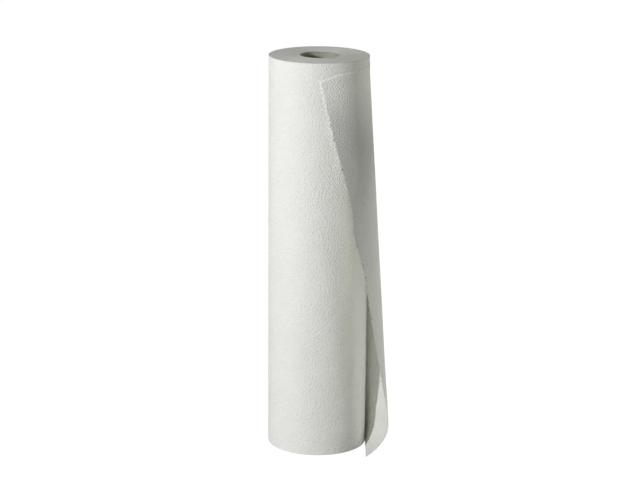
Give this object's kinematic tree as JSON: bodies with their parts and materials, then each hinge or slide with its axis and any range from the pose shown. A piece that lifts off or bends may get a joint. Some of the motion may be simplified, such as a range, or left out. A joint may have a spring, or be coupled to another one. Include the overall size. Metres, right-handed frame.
{
  "type": "exam table paper roll",
  "caption": "Wide roll of embossed exam table paper wound on a thin cardboard core, standing on end with its loose outer turn slanting and fanned out at the foot.",
  "frame": {"origin": "on the roll's axis, at the end that it stands on", "axes": "+Z along the axis to the other end, -Y towards the front, where the loose corner lies, and +X towards the side where the loose turn stands off"},
  "size_m": [0.1528, 0.1365, 0.5007],
  "materials": {
    "paper": "matte, finely embossed tissue",
    "cardboard": "matte greyboard"
  },
  "bodies": {
    "root": {"core": "cardboard", "paper_roll": "paper"}
  },
  "joints": []
}
